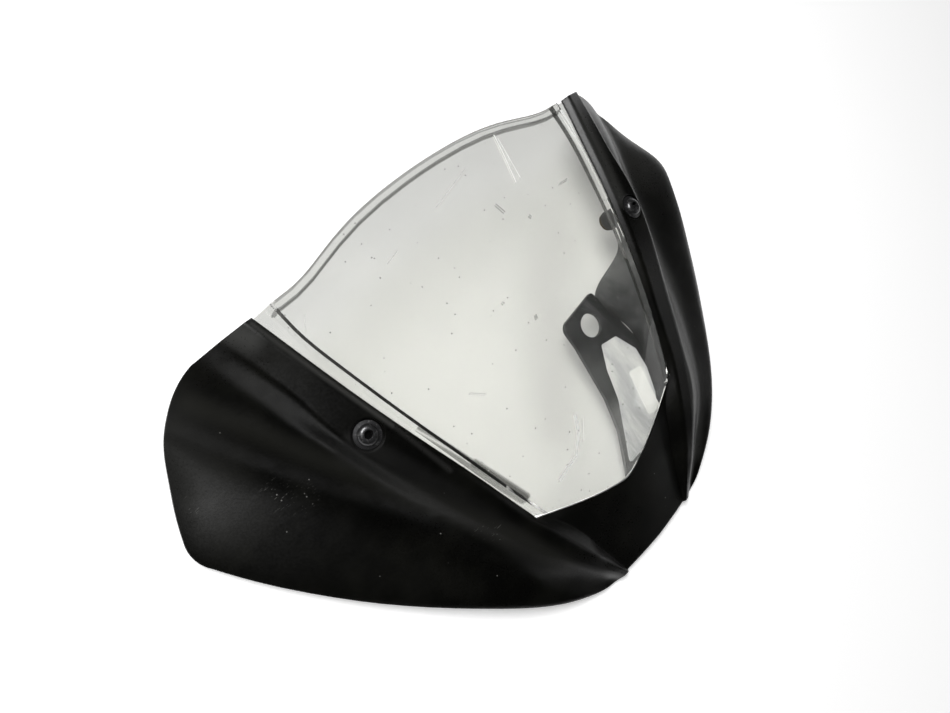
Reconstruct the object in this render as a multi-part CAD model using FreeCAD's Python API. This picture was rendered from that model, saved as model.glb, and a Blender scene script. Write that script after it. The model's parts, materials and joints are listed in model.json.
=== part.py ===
import FreeCAD, Part
import math
import os

# Motorbike flyscreen: a clear moulded screen held under the arms of a matt black
# fairing, with a side bracket below that carries the mounting lug. Millimetres.
#
# The pieces are drawn in the screen's own frame: X to the rider's right, Y from the
# nose towards the screen's top edge, Z out of the screen. At the end the whole part
# is laid on its rim, as it rests on a table, with +Z up.

# Driving dimensions
SHELL_WALL = 2.8
SCREEN_WALL = 3.0
FRAME_WALL = 2.5
SHEET_CLEARANCE = 0.2

REAR_EDGE_Y = 163.8
FRONT_EDGE_Y = -68.0
NOSE_HALF_WIDTH = 27.6
NOSE_CROWN = 0.8
OPENING_MARGIN = 0.5

SCREW_X = 105.0
SCREW_Y = 90.0
SCREW_HEAD_DIAMETER = 13.6
SCREW_HEAD_HEIGHT = 3.3
SCREW_FLANGE_HEIGHT = 1.0
SCREW_SOCKET_WIDTH = 4.0
SCREW_SOCKET_DEPTH = 2.0
SCREW_DOME_INSET = 1.5
SCREW_DOME_FLAT_SHARE = 0.45
SCREW_DOME_BEND_SHARE = 0.85
SCREW_DOME_DROP = 0.8
SCREW_FLANGE_SLOPE = 0.2
SCREW_TIP_CHAMFER = 0.6
SCREW_SHANK_DIAMETER = 6.0
SCREW_LENGTH = 20.0
SCREW_HOLE_CLEARANCE = 0.7
HEAD_DISH_CLEARANCE = 0.9
HEAD_DISH_DEPTH = 1.0

WELL_NUT_BODY_DIAMETER = 12.0
WELL_NUT_FLANGE_DIAMETER = 14.4
WELL_NUT_FLANGE_HEIGHT = 1.5
WELL_NUT_LENGTH = 15.0
WELL_NUT_CHAMFER = 1.0
WELL_NUT_BORE_CLEARANCE = 0.3
WELL_NUT_HOLE_CLEARANCE = 0.2
INSERT_DIAMETER = 8.6
INSERT_COLLAR_DIAMETER = 10.6
INSERT_COLLAR_HEIGHT = 1.2
INSERT_LENGTH = 8.0
INSERT_FIT = 0.05

SHELF_Z = -17.0
LUG_HOLE_X = 47.0
LUG_HOLE_Y = 50.0
LUG_HOLE_RADIUS = 7.25
LUG_CORNER_RADIUS = 6.0
LUG_ROOT_RADIUS = 10.0
LUG_REAR_RADIUS = 2.0
SHELF_BAY_RADIUS = 12.0
SHELF_SIDE_RADIUS = 6.0
SHELF_END_RADIUS = 3.0

BOSS_X = 26.0
BOSS_Y = -31.0
BOSS_DIAMETER = 8.0
BOSS_ROOT_SHARE = 0.6
FRAME_SCREW_DIAMETER = 3.5
FRAME_SCREW_HEAD_DIAMETER = 7.0
FRAME_SCREW_HEAD_HEIGHT = 2.2
FRAME_SCREW_LENGTH = 8.0
FRAME_SCREW_HOLE = 4.0
FRAME_SCREW_HEAD_CHAMFER = 1.2
CROSS_SLOT_LENGTH = 3.6
CROSS_SLOT_WIDTH = 0.8
CROSS_SLOT_DEPTH = 1.2
PILOT_CLEARANCE = 0.1
PILOT_EXTRA_DEPTH = 0.5

FOIL_THICKNESS = 0.4
LABEL_THICKNESS = 0.2
LABEL_LENGTH = 28.0
LABEL_WIDTH = 10.0
LABEL_CORNER_RADIUS = 2.0
LABEL_X = 51.0
LABEL_Y = -1.0
LABEL_TURN = -12.0
FOIL_CORNER_RADIUS = 1.5

TOP_BEAD_WIDTH = 4.4
TOP_BEAD_HEIGHT = 1.4
BEAD_SIDE_MARGIN = 0.3
BOTTOM_REBATE_WIDTH = 3.5
BOTTOM_REBATE_DEPTH = 1.2
REBATE_OVERCUT = 0.8
SCREEN_EDGE_GAP = 0.6
SCREEN_TAB_RADIUS = 5.8
STEP_RUN_REAR = 1.0
STEP_RUN_FRONT = 2.0
STEP_LOWEST = 0.6
STEP_FOOT_RISE = 0.05
STEP_FOOT_INSET = 0.4
STEP_INNER_SHIFT = 2.4
FLANGE_REACH = 24.0
FLANGE_LAP = 7.0
STRIP_MARGIN = 1.0

# Cutting bodies run past the part on every side by these heights
CUT_LOW_Z = -120.0
CUT_HIGH_Z = 80.0
CUT_REAR_Y = 175.0
CUT_OVERLAP = 8.0


def vec(x, y, z):
    """Short form of a point."""
    return FreeCAD.Vector(x, y, z)


def guide(points):
    """Smooth line along the moulding, read at any y. Points are (y, x, z)."""
    rising = sorted(points)
    curve = Part.BSplineCurve()
    curve.interpolate(
        Points=[vec(x, y, z) for y, x, z in rising],
        Parameters=[float(y) for y, x, z in rising],
    )
    return curve


# Guide lines of the right half of the fairing, from the rear end to the nose
BEVEL_FOOT = guide([
    (172, 113.7, -3.0), (161, 111.0, -0.9), (143, 106.0, 0.3), (124, 101.0, 1.8),
    (105, 95.8, 3.1), (86, 90.0, 3.9), (66, 83.4, 4.0), (45, 76.0, 3.3),
    (22, 68.0, 1.6), (6, 62.6, 0.0), (-3, 57.5, -2.0), (-9, 52.0, -4.2),
    (-17, 47.0, -5.9), (-26, 42.3, -7.8), (-38, 38.0, -11.0), (-51, 34.0, -14.4),
    (-64, 29.8, -17.0), (-76, 26.0, -19.5),
])
CREST = guide([
    (172, 118.5, -0.3), (161, 115.2, 2.0), (143, 110.5, 3.4), (124, 105.5, 4.8),
    (105, 100.2, 5.8), (86, 94.4, 6.4), (66, 87.7, 6.4), (45, 80.4, 5.4),
    (22, 72.6, 3.6), (6, 67.2, 2.2), (-3, 62.5, 1.6), (-12, 57.8, 0.8),
    (-24, 52.6, -1.6), (-36, 47.0, -4.7), (-50, 39.8, -9.4), (-63, 32.5, -14.0),
    (-76, 25.5, -18.5),
])
LAND_EDGE = guide([
    (172, 131.5, -7.0), (161, 129.0, -4.6), (143, 124.8, -1.6), (124, 120.0, 0.9),
    (105, 117.2, 2.6), (85, 112.3, 3.4), (64, 104.6, 3.1), (43, 95.8, 2.2),
    (22, 87.0, 1.4), (0, 76.5, 0.6), (-20, 65.5, -0.9), (-36, 56.0, -5.0),
    (-50, 46.5, -9.8), (-63, 36.5, -14.8), (-76, 27.5, -19.2),
])
SHELF_INNER = guide([
    (172, 141.0, -20.0), (161, 139.0, -17.0), (138, 132.5, -14.0), (117, 126.5, -11.5),
    (96, 119.5, -9.0), (74, 112.5, -6.4), (51, 103.8, -4.6), (27, 93.0, -3.2),
    (4, 81.5, -1.6), (-20, 68.8, -2.2), (-36, 58.5, -6.2), (-50, 48.8, -10.8),
    (-63, 38.0, -15.6), (-76, 28.5, -20.0),
])
SHELF_OUTER = guide([
    (172, 164.0, -37.0), (161, 160.0, -33.0), (139, 152.0, -26.0), (119, 144.0, -21.5),
    (106, 138.5, -19.8), (87, 130.0, -17.6), (68, 120.5, -15.0), (40, 107.0, -11.6),
    (14, 95.0, -8.2), (-8, 83.0, -5.8), (-25, 71.5, -5.8), (-40, 59.5, -9.6),
    (-53, 48.3, -13.4), (-64, 38.5, -17.0), (-76, 29.5, -21.0),
])
CREASE = guide([
    (172, 173.5, -47.0), (161, 170.0, -42.0), (139, 161.5, -35.0), (119, 153.5, -30.5),
    (106, 147.5, -28.5), (87, 139.0, -25.5), (68, 129.5, -22.0), (40, 115.5, -17.4),
    (14, 103.0, -13.4), (-8, 89.5, -9.8), (-25, 76.5, -8.6), (-40, 62.8, -11.4),
    (-53, 50.5, -14.8), (-64, 40.0, -18.0), (-76, 30.5, -22.0),
])
RIM = guide([
    (172, 182.0, -52.0), (161, 180.5, -49.0), (137, 179.0, -46.0), (125, 181.5, -45.0),
    (112, 186.0, -43.5), (100, 190.5, -42.0), (87, 190.8, -40.4), (74, 185.5, -38.4),
    (64, 179.0, -36.2), (43, 162.5, -31.5), (21, 144.5, -26.4), (0, 125.5, -21.0),
    (-21, 104.5, -15.4), (-44, 80.0, -14.2), (-56, 64.5, -16.4), (-66, 48.0, -19.5),
    (-76, 36.0, -24.0),
])
LAND_FLAT_SHARE = 0.82
LAND_EDGE_SHARE = 0.97
LAND_EDGE_DROP = 0.4
LAND_EDGE_FADE_WIDTH = 14.0
CREST_ROUNDING = 1.8
CREST_REACH_SHARE = 0.3
FOOT_THINNING = 2.0
FOOT_THINNING_END_Y = 2.0
FOOT_THINNING_FADE = 10.0
LIP_OUT = 4.0
LIP_DROP = 8.0

STATIONS = [
    172, 161, 150, 139, 128, 117, 106, 95, 84, 72, 60, 48, 36, 24, 12, 3,
    -6, -14, -24, -36, -48, -58, -67, -76,
]

# Centre line of the nose panel and of the screen's window, and their crown radii
NOSE_CENTRE = guide([
    (172, 0, 8.0), (100, 0, 12.0), (50, 0, 10.0), (14, 0, 7.2), (0, 0, 4.2),
    (-12, 0, 0.8), (-23.6, 0, -2.6), (-36, 0, -6.3), (-51, 0, -10.9), (-67, 0, -15.8),
    (-76, 0, -18.5),
])
WINDOW_CENTRE = guide([
    (188, 0, 8.0), (178, 0, 8.4), (163, 0, 9.0), (130, 0, 10.4), (100, 0, 11.2),
    (70, 0, 11.0), (40, 0, 9.2), (14, 0, 6.4), (0, 0, 4.0), (-12, 0, 1.0),
    (-24, 0, -2.6), (-32, 0, -5.2),
])
WINDOW_SIDE = guide([
    (188, 109.0, 2.0), (163, 102.8, 2.9), (143, 101.0, 3.8), (123, 96.4, 5.2),
    (103, 91.2, 6.3), (82, 85.2, 7.1), (60, 78.4, 7.2), (38, 71.2, 6.0),
    (14, 62.6, 3.2), (0, 57.0, 0.6), (-12, 52.0, -2.8), (-24, 46.0, -6.8),
    (-32, 42.0, -9.6),
])
FRONT_STEP_Y = 14.0
SCREEN_STATIONS = [188, 176, 163, 146, 128, 110, 92, 74, 56, 38, 22, 8, -2, -12, -22, -32]


def at(line, y):
    """X and Z of a guide line at a station."""
    p = line.value(y)
    return p.x, p.z


def shell_points(y):
    """Outer corner points of one half section from the bevel foot to the lip."""
    foot, crest, land = at(BEVEL_FOOT, y), at(CREST, y), at(LAND_EDGE, y)
    inner, outer, crease = at(SHELF_INNER, y), at(SHELF_OUTER, y), at(CREASE, y)
    rim = at(RIM, y)

    def between(a, b, share):
        return a[0] + (b[0] - a[0]) * share, a[1] + (b[1] - a[1]) * share

    lip = (rim[0] + LIP_OUT, rim[1] - LIP_DROP)
    edge = between(crest, land, LAND_EDGE_SHARE)
    drop = LAND_EDGE_DROP * min(1.0, (land[0] - crest[0]) / LAND_EDGE_FADE_WIDTH) ** 2
    skin = [
        between(crest, land, LAND_FLAT_SHARE), (edge[0], edge[1] - drop),
        inner, between(inner, outer, 0.5), outer, crease,
        between(crease, rim, 0.5), rim, lip,
    ]
    return foot, crest, skin


def chord_shares(points):
    """Running chord length of a row of points, from 0 to 1."""
    total = [0.0]
    for a, b in zip(points, points[1:]):
        total.append(total[-1] + math.hypot(b[0] - a[0], b[1] - a[1]))
    return [t / total[-1] for t in total]


def mean_shares(stations):
    """One set of curve parameters for all sections, so that the loft stays even."""
    rows = [chord_shares(shell_points(y)[2]) for y in stations]
    return [sum(column) / len(rows) for column in zip(*rows)]


def skin_curve(points, y, shares):
    """Curve through (x, z) section points in the plane of one station."""
    curve = Part.BSplineCurve()
    curve.interpolate(Points=[vec(x, y, z) for x, z in points], Parameters=shares)
    return curve


def inward(curve, shares, wall):
    """Points one wall thickness under a section curve."""
    result = []
    for share in shares:
        p = curve.value(share)
        t = curve.tangent(share)[0]
        result.append((p.x + t.z * wall, p.z - t.x * wall))
    return result


def mirror_points(points):
    """The same section points on the left side."""
    return [(-x, z) for x, z in points]


def foot_wall(y):
    """Wall thickness at the bevel foot: thin along the arms, full at the nose."""
    share = min(1.0, max(0.0, (FOOT_THINNING_END_Y - y) / FOOT_THINNING_FADE))
    return SHELL_WALL - FOOT_THINNING * (1.0 - share)


def rounded_crest(foot, crest, skin_start):
    """Start, middle and end of the small arc that softens the crest."""
    def toward(target):
        run = (target[0] - crest[0], target[1] - crest[1])
        length = math.hypot(*run)
        reach = min(CREST_ROUNDING, CREST_REACH_SHARE * length)
        return crest[0] + run[0] / length * reach, crest[1] + run[1] / length * reach

    low, high = toward(foot), toward(skin_start)
    chord = ((low[0] + high[0]) / 2.0, (low[1] + high[1]) / 2.0)
    middle = ((chord[0] + crest[0]) / 2.0, (chord[1] + crest[1]) / 2.0)
    return low, middle, high


def shell_section(y, shares):
    """Closed section of the fairing from lip to lip."""
    foot, crest, skin = shell_points(y)
    low, middle, high = rounded_crest(foot, crest, skin[0])
    right = skin_curve(skin, y, shares)
    under = inward(right, shares, SHELL_WALL)
    right_in = skin_curve(under, y, shares)
    left = skin_curve(mirror_points(skin), y, shares)
    left_in = skin_curve(mirror_points(under), y, shares)
    centre = at(NOSE_CENTRE, y)[1]
    crest_in = (crest[0], crest[1] - SHELL_WALL)
    foot_in = (foot[0], foot[1] - foot_wall(y))
    centre_in = centre - SHELL_WALL

    def point(pair, side=1):
        return vec(side * pair[0], y, pair[1])

    left.reverse()
    edges = [
        left.toShape(),
        Part.LineSegment(point(skin[0], -1), point(high, -1)).toShape(),
        Part.Arc(point(high, -1), point(middle, -1), point(low, -1)).toShape(),
        Part.LineSegment(point(low, -1), point(foot, -1)).toShape(),
        Part.Arc(point(foot, -1), vec(0, y, centre), point(foot)).toShape(),
        Part.LineSegment(point(foot), point(low)).toShape(),
        Part.Arc(point(low), point(middle), point(high)).toShape(),
        Part.LineSegment(point(high), point(skin[0])).toShape(),
        right.toShape(),
        Part.LineSegment(point(skin[-1]), point(under[-1])).toShape(),
    ]
    right_in.reverse()
    edges += [
        right_in.toShape(),
        Part.LineSegment(point(under[0]), point(crest_in)).toShape(),
        Part.LineSegment(point(crest_in), point(foot_in)).toShape(),
        Part.Arc(point(foot_in), vec(0, y, centre_in), point(foot_in, -1)).toShape(),
        Part.LineSegment(point(foot_in, -1), point(crest_in, -1)).toShape(),
        Part.LineSegment(point(crest_in, -1), point(under[0], -1)).toShape(),
        left_in.toShape(),
        Part.LineSegment(point(under[-1], -1), point(skin[-1], -1)).toShape(),
    ]
    return Part.Wire(edges)


def prism(wire, low=CUT_LOW_Z, high=CUT_HIGH_Z):
    """Upright prism over a flat outline."""
    flat = wire.copy()
    flat.translate(vec(0, 0, low))
    return Part.Face(flat).extrude(vec(0, 0, high - low))


def spline_edge(points):
    """Smooth plan line through (x, y) points."""
    curve = Part.BSplineCurve()
    curve.interpolate([vec(x, y, 0) for x, y in points])
    return curve.toShape()


def line_edge(a, b):
    """Straight plan line between two points."""
    return Part.LineSegment(vec(a[0], a[1], 0), vec(b[0], b[1], 0)).toShape()


def arc_edge(a, b, c):
    """Plan arc through three points."""
    return Part.Arc(vec(a[0], a[1], 0), vec(b[0], b[1], 0), vec(c[0], c[1], 0)).toShape()


def mirrored(edges):
    """Edges of the left half, walked back the other way."""
    return [e.mirror(vec(0, 0, 0), vec(1, 0, 0)) for e in reversed(edges)]


# Outline of the fairing in plan: rear end, wing side, lower edge and nose
WING_SIDE = [
    (142.0, REAR_EDGE_Y - 0.9), (153.0, 158.5), (162.4, 151.0), (171.2, 140.7),
    (179.0, 126.5), (186.0, 112.6), (191.0, 100.5),
]
WING_CORNER = [(191.0, 100.5), (192.4, 92.5), (189.0, 83.0)]
LOWER_EDGE = [
    (189.0, 83.0), (178.5, 65.5), (162.5, 42.5), (144.5, 19.8), (125.4, -1.2),
    (104.4, -22.0), (79.4, -44.8), (63.4, -56.4), (46.6, -65.4), (34.5, -68.6),
    (NOSE_HALF_WIDTH, FRONT_EDGE_Y),
]


def shell_outline():
    """Closed plan outline of the fairing, both halves."""
    rear_start = (at(BEVEL_FOOT, REAR_EDGE_Y)[0] - CUT_OVERLAP, REAR_EDGE_Y)
    right = [
        line_edge((0, FRONT_EDGE_Y - NOSE_CROWN), (NOSE_HALF_WIDTH, FRONT_EDGE_Y)),
        spline_edge(LOWER_EDGE[::-1]),
        arc_edge(*WING_CORNER[::-1]),
        spline_edge(WING_SIDE[::-1]),
        line_edge(WING_SIDE[0], rear_start),
        line_edge(rear_start, (0, REAR_EDGE_Y)),
    ]
    return Part.Wire(Part.__sortEdges__(right + mirrored(right)))


# Lower edge of the window opening: a rounded V between the two arms
V_POINTS = [(61.0, 0.4), (46.0, -7.0), (32.0, -13.4), (20.0, -18.2), (9.0, -21.8)]
V_APEX = (0.0, -23.6)
V_NORMAL = (0.4, -0.9)
ARM_STATIONS = [140, 115, 90, 65, 40, 18, 4]


def opening_side(offset, top):
    """Plan line of the arm's inner edge, moved outward by the offset."""
    return [(at(BEVEL_FOOT, y)[0] + offset, y) for y in [top] + ARM_STATIONS]


def opening_wire(offset, top):
    """Outline of the opening between the arms; offset is outward growth."""
    side = opening_side(offset, top)
    low = [(x + offset * V_NORMAL[0], y + offset * V_NORMAL[1]) for x, y in V_POINTS]
    apex = (V_APEX[0], V_APEX[1] - offset)
    v_left = [(-x, y) for x, y in low]
    v_all = low + [apex] + v_left[::-1]
    right = spline_edge(side)
    left = spline_edge([(-x, y) for x, y in side])
    edges = [
        right, line_edge(side[-1], low[0]), spline_edge(v_all),
        line_edge(v_left[0], (-side[-1][0], side[-1][1])), left,
        line_edge((-side[0][0], side[0][1]), side[0]),
    ]
    return Part.Wire(Part.__sortEdges__(edges))


def land_frame(side):
    """Placement on the land at a screw, its Z along the land's normal."""
    crest, land = at(CREST, SCREW_Y), at(LAND_EDGE, SCREW_Y)
    slope = (land[1] - crest[1]) / (land[0] - crest[0])
    height = crest[1] + (SCREW_X - crest[0]) * slope
    angle = -math.degrees(math.atan(slope)) * side
    turn = FreeCAD.Rotation(vec(0, 1, 0), angle)
    return FreeCAD.Placement(vec(side * SCREW_X, SCREW_Y, height), turn)


def cylinder(diameter, bottom, top, x=0.0, y=0.0):
    """Upright cylinder between two heights."""
    return Part.makeCylinder(diameter / 2.0, top - bottom, vec(x, y, bottom))


def placed(shape, placement):
    """Copy of a shape moved by a placement."""
    result = shape.copy()
    result.Placement = placement.multiply(result.Placement)
    return result


def nose_height(x, y):
    """Height of the nose panel's outer face."""
    foot, centre = at(BEVEL_FOOT, y), at(NOSE_CENTRE, y)[1]
    return centre - (centre - foot[1]) * (x / foot[0]) ** 2


def fairing_shell():
    """One black moulding: two arms, two wings and the nose panel."""
    shares = mean_shares(STATIONS)
    skin = Part.makeLoft([shell_section(y, shares) for y in STATIONS], True, False)
    body = skin.common(prism(shell_outline()))
    body = body.cut(prism(opening_wire(OPENING_MARGIN, CUT_REAR_Y)))
    boss_top = nose_height(BOSS_X, BOSS_Y) - BOSS_ROOT_SHARE * SHELL_WALL
    pilot_top = SHELF_Z - FRAME_WALL + FRAME_SCREW_LENGTH + PILOT_EXTRA_DEPTH
    pilot = FRAME_SCREW_DIAMETER + PILOT_CLEARANCE
    body = body.fuse(cylinder(BOSS_DIAMETER, SHELF_Z, boss_top, BOSS_X, BOSS_Y))
    body = body.cut(cylinder(pilot, SHELF_Z - FRAME_WALL, pilot_top, BOSS_X, BOSS_Y))
    for side in (-1, 1):
        dish = cylinder(SCREW_HEAD_DIAMETER + 2 * HEAD_DISH_CLEARANCE, -HEAD_DISH_DEPTH, CUT_OVERLAP)
        body = body.cut(placed(dish.fuse(screw_hole()), land_frame(side)))
    return body


def screw_hole():
    """Clearance hole for a land screw, through the fairing and the screen."""
    deep = SHELL_WALL + SHEET_CLEARANCE + SCREEN_WALL + CUT_OVERLAP
    return cylinder(SCREW_SHANK_DIAMETER + SCREW_HOLE_CLEARANCE, -deep, CUT_OVERLAP)


# Screen: crowned window, step down to a flange that lies under the arms
def screen_corners(y):
    """Top corner points of half a section: window side, step foot, bend, flange end."""
    side = at(WINDOW_SIDE, y)
    foot, crest, land = at(BEVEL_FOOT, y), at(CREST, y), at(LAND_EDGE, y)
    slope = (land[1] - crest[1]) / (land[0] - crest[0])
    bend = (crest[0], crest[1] - SHELL_WALL - SHEET_CLEARANCE)
    foot_height = foot[1] - (SHELL_WALL - FOOT_THINNING) - SHEET_CLEARANCE
    foot_top = (foot[0] - STEP_FOOT_INSET, foot_height)
    end = (crest[0] + FLANGE_REACH, bend[1] + slope * FLANGE_REACH)
    share = min(1.0, max(0.0, (REAR_EDGE_Y - y) / (REAR_EDGE_Y - FRONT_STEP_Y)))
    run = STEP_RUN_REAR + (STEP_RUN_FRONT - STEP_RUN_REAR) * share
    step = (side[0] + run, min(foot_height - STEP_FOOT_RISE, side[1] - STEP_LOWEST))
    return side, step, foot_top, bend, end


def screen_section(y):
    """Closed section of the screen from flange end to flange end."""
    side, step, foot_top, bend, end = screen_corners(y)
    centre = at(WINDOW_CENTRE, y)[1]

    def point(pair, sign, drop=0.0, shift=0.0):
        return vec(sign * (pair[0] - shift), y, pair[1] - drop)

    top = [end, bend, foot_top, step, side]
    edges = []
    for a, b in zip(top, top[1:]):
        edges.append(Part.LineSegment(point(a, -1), point(b, -1)).toShape())
    crown = Part.Arc(point(side, -1), vec(0, y, centre), point(side, 1))
    edges.append(crown.toShape())
    for a, b in zip(top[::-1], top[::-1][1:]):
        edges.append(Part.LineSegment(point(a, 1), point(b, 1)).toShape())
    wall = SCREEN_WALL
    low = [(end, 0.0), (bend, 0.0), (foot_top, 0.0)]
    low += [(step, STEP_INNER_SHIFT), (side, STEP_INNER_SHIFT)]
    edges.append(Part.LineSegment(point(end, 1), point(end, 1, wall)).toShape())
    for (a, sa), (b, sb) in zip(low, low[1:]):
        a_point, b_point = point(a, 1, wall, sa), point(b, 1, wall, sb)
        edges.append(Part.LineSegment(a_point, b_point).toShape())
    inner = point(side, 1, wall, STEP_INNER_SHIFT)
    inner_left = point(side, -1, wall, STEP_INNER_SHIFT)
    edges.append(Part.Arc(inner, vec(0, y, centre - wall), inner_left).toShape())
    for (a, sa), (b, sb) in zip(low[::-1], low[::-1][1:]):
        a_point, b_point = point(a, -1, wall, sa), point(b, -1, wall, sb)
        edges.append(Part.LineSegment(a_point, b_point).toShape())
    edges.append(Part.LineSegment(point(end, -1, wall), point(end, -1)).toShape())
    return Part.Wire(edges)


TOP_EDGE = [
    (107.6, 163.2), (100.0, 163.8), (90.0, 164.3), (80.0, 166.1), (70.0, 168.9),
    (59.5, 171.9), (44.5, 175.0), (28.5, 176.9), (12.0, 177.8),
]
TOP_EDGE_CENTRE = (0.0, 178.0)
FLANGE_STATIONS = [TOP_EDGE[0][1] - 2.0, 130, 100, 70, 40, 16]


def top_edge_points(inset):
    """The screen's crowned top edge, moved inward."""
    right = [(x, y - inset) for x, y in TOP_EDGE]
    return right + [(0.0, TOP_EDGE_CENTRE[1] - inset)] + [(-x, y) for x, y in right[::-1]]


def v_edge_points(inset):
    """The screen's lower edge, inside the fairing's opening."""
    right = [(x - inset * V_NORMAL[0], y - inset * V_NORMAL[1]) for x, y in V_POINTS]
    return right + [(0.0, V_APEX[1] + inset)] + [(-x, y) for x, y in right[::-1]]


def screen_outline():
    """Plan outline: crowned top edge, flanges under the arms, V at the bottom."""
    top = top_edge_points(0.0)
    low = v_edge_points(SCREEN_EDGE_GAP)
    wide = [(at(CREST, y)[0] + FLANGE_LAP, y) for y in FLANGE_STATIONS]
    right = [line_edge(top[0], wide[0]), spline_edge(wide), line_edge(wide[-1], low[0])]
    return Part.Wire(Part.__sortEdges__(
        [spline_edge(top), spline_edge(low)] + right + mirrored(right)
    ))


def band(near, width):
    """Prism along a crosswise line, one width tall in y, for the bead and rebate."""
    far = [(x, y + width) for x, y in near]
    right, left = near[0], near[-1]
    edges = [
        spline_edge(near), spline_edge(far),
        line_edge(right, far[0]), line_edge(left, far[-1]),
    ]
    return prism(Part.Wire(Part.__sortEdges__(edges)))


def screen():
    """One clear moulding with a bead on its top edge and a rebate on its lower edge."""
    sheet = Part.makeLoft([screen_section(y) for y in SCREEN_STATIONS], True, False)
    outline = prism(screen_outline())
    for side in (-1, 1):
        tab = cylinder(2 * SCREEN_TAB_RADIUS, CUT_LOW_Z, CUT_HIGH_Z, side * SCREW_X, SCREW_Y)
        outline = outline.fuse(tab)
    body = sheet.common(outline)
    lifted = sheet.copy()
    lifted.translate(vec(0, 0, TOP_BEAD_HEIGHT))
    bead = lifted.common(band(top_edge_points(TOP_BEAD_WIDTH), TOP_BEAD_WIDTH))
    body = body.fuse(bead.common(prism(bead_limit())))
    raised = sheet.copy()
    raised.translate(vec(0, 0, SCREEN_WALL - BOTTOM_REBATE_DEPTH))
    low = v_edge_points(SCREEN_EDGE_GAP)
    low = [(x * 1.02, y - REBATE_OVERCUT) for x, y in low]
    rebate = raised.common(band(low, BOTTOM_REBATE_WIDTH + REBATE_OVERCUT))
    body = body.cut(rebate)
    for side in (-1, 1):
        body = body.cut(placed(screw_hole(), land_frame(side)))
    return body


def bead_limit():
    """Plan area between the two window sides, where the top bead runs."""
    half = at(WINDOW_SIDE, REAR_EDGE_Y)[0] - BEAD_SIDE_MARGIN
    near, far = TOP_EDGE[0][1] - 2 * CUT_OVERLAP, TOP_EDGE_CENTRE[1] + CUT_OVERLAP
    corners = [(-half, near), (half, near), (half, far), (-half, far)]
    edges = [line_edge(a, b) for a, b in zip(corners, corners[1:] + corners[:1])]
    return Part.Wire(edges)


# Side bracket: strip under the right arm, wall, and a level shelf with the lug.
# The left arm has only the strip, for its well nut.
STACK_GAP = 0.25
STRIP_GAP = 0.3
STRIP_DROP = (
    SHELL_WALL + SHEET_CLEARANCE + SCREEN_WALL + STACK_GAP + WELL_NUT_FLANGE_HEIGHT + STRIP_GAP
)
STRIP_INSET = 1.0
STRIP_LIP = 1.5
STRIP_FADE_START_Y = 4.0
STRIP_FADE_LENGTH = 50.0
STRIP_LEAST_SHARE = 0.12
WALL_FOOT = guide([
    (106, 98.0, -5.0), (90, 93.6, -5.2), (79, 88.8, -5.6), (71, 81.0, -9.0),
    (66, 69.0, -14.6), (62, 63.0, SHELF_Z), (43, 64.5, SHELF_Z), (22, 68.0, SHELF_Z),
    (6, 64.0, SHELF_Z), (-6, 58.5, SHELF_Z), (-16, 52.5, SHELF_Z), (-24, 47.0, SHELF_Z),
])
WALL_STATIONS = [102, 92, 80, 76, 72, 68, 64, 52, 40, 28, 16, 6, -4, -14, -22]


def frame_section(y, foot_line):
    """Closed section of the strip under an arm and the wall that drops from it."""
    crest, land = at(CREST, y), at(LAND_EDGE, y)
    slope = (land[1] - crest[1]) / (land[0] - crest[0])
    fade = min(1.0, max(STRIP_LEAST_SHARE, (y - STRIP_FADE_START_Y) / STRIP_FADE_LENGTH))
    drop = STRIP_DROP * math.hypot(1.0, slope)
    inner = (crest[0] + STRIP_INSET, crest[1] + slope * STRIP_INSET - drop)
    outer_x = inner[0] + (land[0] - STRIP_MARGIN - inner[0]) * fade
    outer = (outer_x, inner[1] + slope * (outer_x - inner[0]))
    low = at(foot_line, y)
    depth = min(inner[1] - STRIP_LIP, low[1])
    wall = FRAME_WALL
    run = (inner[0] - low[0], inner[1] - depth)
    length = math.hypot(*run)
    shift = (run[1] / length * wall, -run[0] / length * wall)
    corners = [
        outer, inner, (low[0], depth), (low[0] + shift[0], depth + shift[1]),
        (inner[0] + shift[0], inner[1] - wall + min(0.0, shift[1])),
        (outer[0], outer[1] - wall),
    ]
    points = [vec(x, y, z) for x, z in corners]
    return Part.makePolygon(points + points[:1])


STRIP_FOOT = guide([
    (106, 97.0, -5.0), (90, 92.0, -5.4), (72, 87.0, -5.5), (56, 82.0, -6.0),
    (36, 75.0, -7.6), (18, 70.0, -9.0),
])
STRIP_STATIONS = [102, 92, 80, 68, 56, 44, 32, 20]
SHELF_END_X = 6.0
SHELF_END_Y = (-30.0, -41.0)
SHELF_BAY = [(10.0, -24.0), (20.0, -7.0), (25.5, 12.0)]
SHELF_SIDE = [(65.5, 43.0), (69.5, 22.0), (66.0, 6.0), (53.5, -16.0), (33.0, -39.5)]
LUG_OUTER = (29.5, 60.6)
LUG_INNER = (29.5, 46.0)
LUG_REAR = (60.5, 64.6)


def rounded_outline(corners, radii):
    """Closed plan outline with each corner rounded by its own radius."""
    count = len(corners)
    starts, ends, edges = [], [], []
    for i in range(count):
        here = vec(*corners[i], 0)
        before = (vec(*corners[i - 1], 0) - here).normalize()
        after = (vec(*corners[(i + 1) % count], 0) - here).normalize()
        half = before.getAngle(after) / 2.0
        if radii[i] <= 0:
            starts.append(here)
            ends.append(here)
            continue
        reach = radii[i] / math.tan(half)
        middle = (before + after).normalize()
        centre = here + middle * (radii[i] / math.sin(half))
        starts.append(here + before * reach)
        ends.append(here + after * reach)
        edges.append(Part.Arc(starts[i], centre - middle * radii[i], ends[i]).toShape())
    for i in range(count):
        edges.append(Part.LineSegment(ends[i - 1], starts[i]).toShape())
    return Part.Wire(Part.__sortEdges__(edges))


def slab(wire, bottom, top):
    """Flat plate over a plan outline."""
    return prism(wire, bottom, top)


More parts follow.
